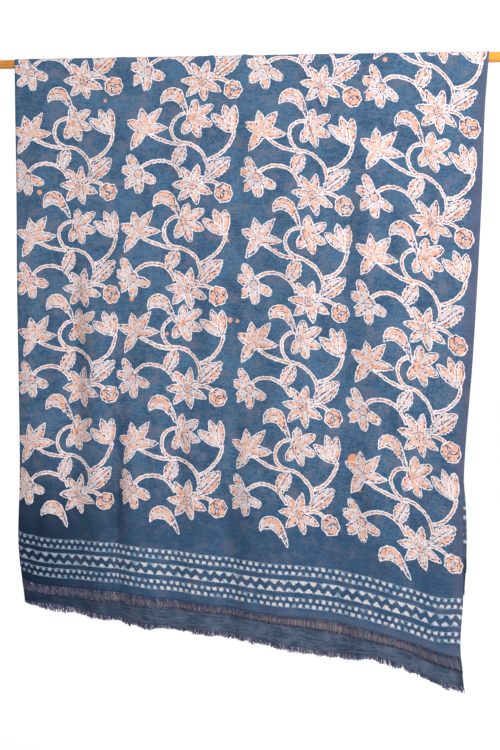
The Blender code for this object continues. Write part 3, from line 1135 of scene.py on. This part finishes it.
def weave_bump(net, across, down, height):
    """A plain weave with slubs, as a bump on the shader."""
    threads = net.noise_value(WEFT, across, down) + net.noise_value(WARP, across, down)
    inputs = {"Height": threads, "Strength": WEAVE_STRENGTH, "Distance": height}
    net.feed(net.shader.inputs["Normal"], net.node("ShaderNodeBump", inputs).outputs[0])


def finish_cloth(net, colour, roughness=0.92):
    return net.finish(colour, Roughness=roughness, Specular_IOR_Level=0.15)


def painted_corner_shade(net, across, down):
    """How much painted shade darkens the lower left corner, where the cloth turns back, from 0 to 1.
    """
    return net.ease(across, 300, 10) * net.ease(down, 700, 940)


def printed_cotton():
    """The printed cloth: darker towards its border, with painted shade along its top over the rod and
    in its lower left corner, greyer at its right edge.
    """
    net = Net("printed_cotton")
    across, down = net.place("cloth_place")
    hem_across, above = net.place("hem_place")
    slanted = down - across * 0.15 * net.ease(down, 300, 1000)
    tones = (INDIGO_DEEP, INDIGO, INDIGO_GREY)
    worn = net.ease(above, 24, 6) * net.ease(across, 250, 800)
    colour = net.dyed(
        indigo_ground(net, across, slanted, tones, streaked=0.18),
        (net.ease(above, 260, 130) * 0.42, INDIGO_DEEP),
        # painted shade along the cloth's top line, where it bends over the rod
        (net.ease(abs(down), 7, 1) * 0.5, INDIGO_DARK),
        (net.ease(across, *SELVEDGE_MM) * 0.6, SELVEDGE_GREY),
        # painted shade in the lower left corner, where the cloth turns back
        (painted_corner_shade(net, across, down) * 0.95, INDIGO_DARK),
        (worn * 0.5, HEADER_GREY),
    )
    colour = print_floral(net, across, down, colour)
    colour = print_border(net, across, down, hem_across, above, colour)
    weave_bump(net, across, down, 0.0004)
    return finish_cloth(net, colour)


# Where the print's wax broke, where its orange spread or stayed pale, and its specks
BREAKS = Noise(4.2, roughness=0.6)
SPREAD = Noise(9, roughness=0.6, shift=(40, 0))
SPECKS = Noise(5.5, shift=(0, 70))
VIVID = Noise(90, detail=1, shift=(300, 0))
BORDER_TONE = Noise(16)
BORDER_WEAR = Noise(5, shift=(0, 50))
CRACK_DEPTH_MM = 3
EDGE_MM = 0.4


def print_floral(net, across, down, colour):
    """The floral print over the ground, with its broken wax lines and uneven orange."""
    ink = draw_floral(net, across, down)
    noises = [net.noise_value(n, across, down) for n in (BREAKS, SPREAD, SPECKS, VIVID)]
    breaks, spread, specks, vivid = noises
    spread = spread + vivid * 0.3 - 0.15
    peach = net.ease(ink.orange, 0.4, -0.9) * net.ease(spread, 0.34, 0.43)
    peach = net.most(net.ease(spread, 0.54, 0.66), peach)
    pale = net.mix(net.ease(specks, 0.42, 0.58), LILAC, CREAM)
    fill = net.mix(peach, pale, net.mix(net.ease(breaks, 0.42, 0.60), PEACH, PEACH_PALE))
    edge_crack = net.ease(abs(ink.petals + CRACK_DEPTH_MM), 1.5, 0.8) * net.ease(specks, 0.50, 0.54)
    tick = net.ease(ink.stems, -1.9, -2.6) * net.ease(breaks, 0.54, 0.60)
    crack = net.ease(ink.crack, 1.4, 0.6) * net.ease(breaks, 0.44, 0.49)
    crack = net.most(net.most(edge_crack, tick), crack)
    fill = net.mix(net.most(crack, net.ease(specks, 0.67, 0.73)), fill, SPECK)
    colour = net.mix(net.ease(ink.body, EDGE_MM, -EDGE_MM), colour, fill)
    colour = print_drips(net, across, down, colour)
    outline = net.ease(ink.line, LINE_MM / 2 + EDGE_MM, LINE_MM / 2 - EDGE_MM)
    return net.mix(outline * net.ease(breaks, 0.36, 0.44), colour, OUTLINE)


def print_border(net, across, down, hem_across, above, colour):
    """The border, paler to the right of its first few blocks."""
    marks, rules = draw_border(net, hem_across, above - net.ease(across, 840, 900) * 9)
    tone = net.noise_value(BORDER_TONE, hem_across, above)
    rule = net.ease(rules, 0.6, -0.4) * net.ease(tone, 0.30, 0.50) * 0.8
    colour = net.mix(rule, colour, MARK_BLUE)
    bluish = 0.12 * net.ease(across, 330, 60) + 0.05 * net.ease(across, 780, 880)
    wear = net.noise_value(BORDER_WEAR, hem_across, above)
    worn = tone - bluish + (wear - 0.5) * 0.5 - net.ease(marks, -2, -0.2) * 0.16
    pale = net.mix(net.ease(worn, 0.22, 0.46), MARK_BLUE, BORDER_PALE)
    # painted shade: the border's pale marks are bluer in the lower left corner, where the cloth turns
    # back
    pale = net.mix(painted_corner_shade(net, across, down) * 0.6, pale, BORDER_SHADE_BLUE)
    return net.mix(net.ease(marks, 0.7, -0.7), colour, pale)


# Drips of the orange dye on the front: across, down and radius, in millimetres
DRIPS_MM = (
    (707, 20, 4.2),
    (176, 89, 3.2),
    (444, 228, 4.4),
    (47, 262, 4.6),
    (416, 357, 2.8),
    (509, 376, 4.2),
    (230, 466, 4.2),
    (424, 507, 5.2),
    (439, 509, 3.6),
    (301, 532, 3.2),
    (800, 642, 4),
    (682, 768, 9.5),
    (698, 826, 3.2),
    (841, 902, 2.6),
)
DRIP_CELL_MM = 95
DRIP_RADIUS_MM = 8


def print_drips(net, across, down, colour):
    """The front's drips where they fell, and others scattered over the back."""
    cells = net.node(
        "ShaderNodeTexVoronoi",
        {"Vector": net.point(across, down), "Scale": 1 / DRIP_CELL_MM},
        voronoi_dimensions="2D",
    )
    shade = net.node("ShaderNodeSeparateColor", {0: cells.outputs["Color"]})
    away = Field(net, cells.outputs["Distance"]) * DRIP_CELL_MM
    scattered = away - (Field(net, shade.outputs[0]) - 0.5) * DRIP_RADIUS_MM
    on_back = net.ease(down, -60, -70) * net.ease(down, -840, -830)
    drips = scattered + (1 - on_back) * DRIP_CELL_MM
    for x, y, radius in DRIPS_MM:
        drips = net.least(drips, net.disc(across, down, (x, y), radius))
    return net.mix(net.ease(drips, 0.5, -0.5), colour, PEACH)


def plain_handloom():
    """The header: greyer than the printed cloth, darker at its left end, with painted shade at its
    right end where it curls back.
    """
    net = Net("plain_handloom")
    across, down = net.place("cloth_place")
    hem_across, above = net.place("hem_place")
    tones = (HEADER_DEEP, HEADER_SLATE, HEADER_GREY)
    colour = net.dyed(
        indigo_ground(net, hem_across, above, tones, streaked=0.75),
        (net.ease(across, 380, 0) * 0.82, INDIGO_DARK),
        # painted shade at the header's right end, where it curls back
        (net.ease(across, *HEADER_CURL_SHADE_MM) * 0.6, INDIGO_DARK),
    )
    weave_bump(net, across, down, 0.0005)
    return finish_cloth(net, colour)


def loose_thread(name, *stops):
    """Cotton thread whose tone differs from strand to strand, from a ramp's stops."""
    net = Net(name)
    share = net.node("ShaderNodeAttribute", attribute_name="thread_tone").outputs["Fac"]
    ramp = net.node("ShaderNodeValToRGB", {0: share})
    elements = ramp.color_ramp.elements
    while len(elements) < len(stops):
        elements.new(0.5)
    for element, (position, *tone) in zip(elements, stops):
        element.position, element.color = position, (*linear(*tone), 1)
    return finish_cloth(net, ramp.outputs[0], roughness=0.95)


CANE_GRAIN = Noise(1.2, detail=3, scale=(0.02, 9))
CANE_STAIN = Noise(40)
CANE_BROWN = linear(146, 84, 12)
CANE_YELLOW = linear(226, 150, 26)


def varnished_cane():
    """Cane with its grain along it, and painted light that makes it brighter and yellower to the
    right.
    """
    net = Net("varnished_cane")
    place = net.node("ShaderNodeTexCoord").outputs["Object"]
    parts = net.node("ShaderNodeSeparateXYZ", {0: place})
    x, y, z = (Field(net, parts.outputs[i]) * 1000 for i in range(3))
    grain = net.noise_value(CANE_GRAIN, x, net.maths("ARCTAN2", z, y))
    stain = net.noise_value(CANE_STAIN, x, z)
    shade = net.ease(grain, 0.3, 0.75) * 0.4 + net.ease(stain, 0.35, 0.7) * 0.25
    # painted light: brighter and yellower towards the right end, where the key light falls
    shade = shade + net.ease(x, -520, 520) * 0.4
    colour = net.mix(shade, CANE_BROWN, CANE_YELLOW)
    varnish = dict(Specular_IOR_Level=0.4, Coat_Weight=0.2, Coat_Roughness=0.2)
    return net.finish(colour, Roughness=0.28, **varnish)


# Floor, light and camera

CAMERA_AWAY = 3
CAMERA_TURN = math.radians(4.78)
CAMERA_HEIGHT = -0.5475
PHOTO_TALL_PX = 750
HORIZON_PX = 350
SENSOR_MM = 36
FLOOR_DROP = 0.50
FLOOR_HALF = 30
KEY_PLACE = (1.25, -1.5, 0.55)
KEY_AIM = (0.25, 0, -0.35)
KEY_SIZE = 0.7
KEY_WATTS = 36
SKY_COLOUR = (0.98, 0.975, 1, 1)
SKY_STRENGTH = 0.755
EXPOSURE = 0.48


def make_floor():
    level = cad_box[0].z - FLOOR_DROP
    corners = [(x, y, level) for x, y in ((-1, -1), (1, -1), (1, 1), (-1, 1))]
    corners = [(x * FLOOR_HALF, y * FLOOR_HALF, z) for x, y, z in corners]
    white = Net("pale_floor").finish((0.98, 0.98, 0.98), Roughness=1)
    add_object("floor", corners, [(0, 1, 2, 3)], white)


def add_key_light():
    """A soft square lamp at the front right, turned towards the cloth."""
    lamp = bpy.data.lights.new("key", "AREA")
    lamp.shape, lamp.size, lamp.energy = "SQUARE", KEY_SIZE, KEY_WATTS
    thing = bpy.data.objects.new("key", lamp)
    bpy.context.scene.collection.objects.link(thing)
    thing.location = KEY_PLACE
    x, y, z = (a - p for a, p in zip(KEY_AIM, KEY_PLACE))
    thing.rotation_euler = (math.atan2(math.hypot(x, y), -z), 0, math.atan2(y, x) - math.pi / 2)
    thing.visible_camera = False


def make_light():
    world = bpy.data.worlds.new("studio")
    bpy.context.scene.world = world
    world.use_nodes = True
    background = world.node_tree.nodes["Background"]
    background.inputs["Color"].default_value = SKY_COLOUR
    background.inputs["Strength"].default_value = SKY_STRENGTH
    add_key_light()
    view = bpy.context.scene.view_settings
    view.view_transform = "Standard"
    view.exposure = EXPOSURE


def make_camera():
    lens = bpy.data.cameras.new("camera")
    lens.sensor_width = SENSOR_MM
    scale_px = CAMERA_AWAY / PX
    lens.lens = scale_px * SENSOR_MM / PHOTO_TALL_PX
    lens.shift_y = (HORIZON_PX - PHOTO_TALL_PX / 2) / PHOTO_TALL_PX
    camera = bpy.data.objects.new("camera", lens)
    bpy.context.scene.collection.objects.link(camera)
    camera.location = (
        CAMERA_AWAY * math.sin(CAMERA_TURN),
        -CAMERA_AWAY * math.cos(CAMERA_TURN),
        CAMERA_HEIGHT,
    )
    camera.rotation_euler = (math.pi / 2, 0, CAMERA_TURN)
    bpy.context.scene.camera = camera


def dress():
    """Lays the cloth and its ends over the solids, and varnishes the cane."""
    handloom = plain_handloom()
    warp_thread = loose_thread(
        "warp_thread",
        (0, 54, 66, 90),
        (0.35, 84, 88, 106),
        (0.65, 120, 108, 106),
        (0.95, 164, 134, 118),
    )
    fringe_thread = loose_thread(
        "fringe_thread",
        (0, 22, 34, 58),
        (0.45, 54, 66, 94),
        (0.80, 90, 90, 116),
        (0.98, 176, 160, 176),
    )
    sheet = make_cloth(printed_cotton())
    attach(sheet, "root")
    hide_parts("stole_cloth")
    loose = []
    for label, panel in (("front", FRONT), ("back", BACK)):
        pieces = [
            make_warp("warp_" + label, panel, warp_thread),
            make_header("header_" + label, panel, handloom),
            make_fringe("fringe_" + label, panel, fringe_thread),
            make_tufts("tufts_" + label, panel, fringe_thread),
        ]
        for piece in pieces:
            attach(piece, "root")
            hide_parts("end_" + label)
        loose += pieces
    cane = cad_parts["rod"]
    cane.data.materials.clear()
    cane.data.materials.append(varnished_cane())


dress()
make_floor()
make_light()
make_camera()
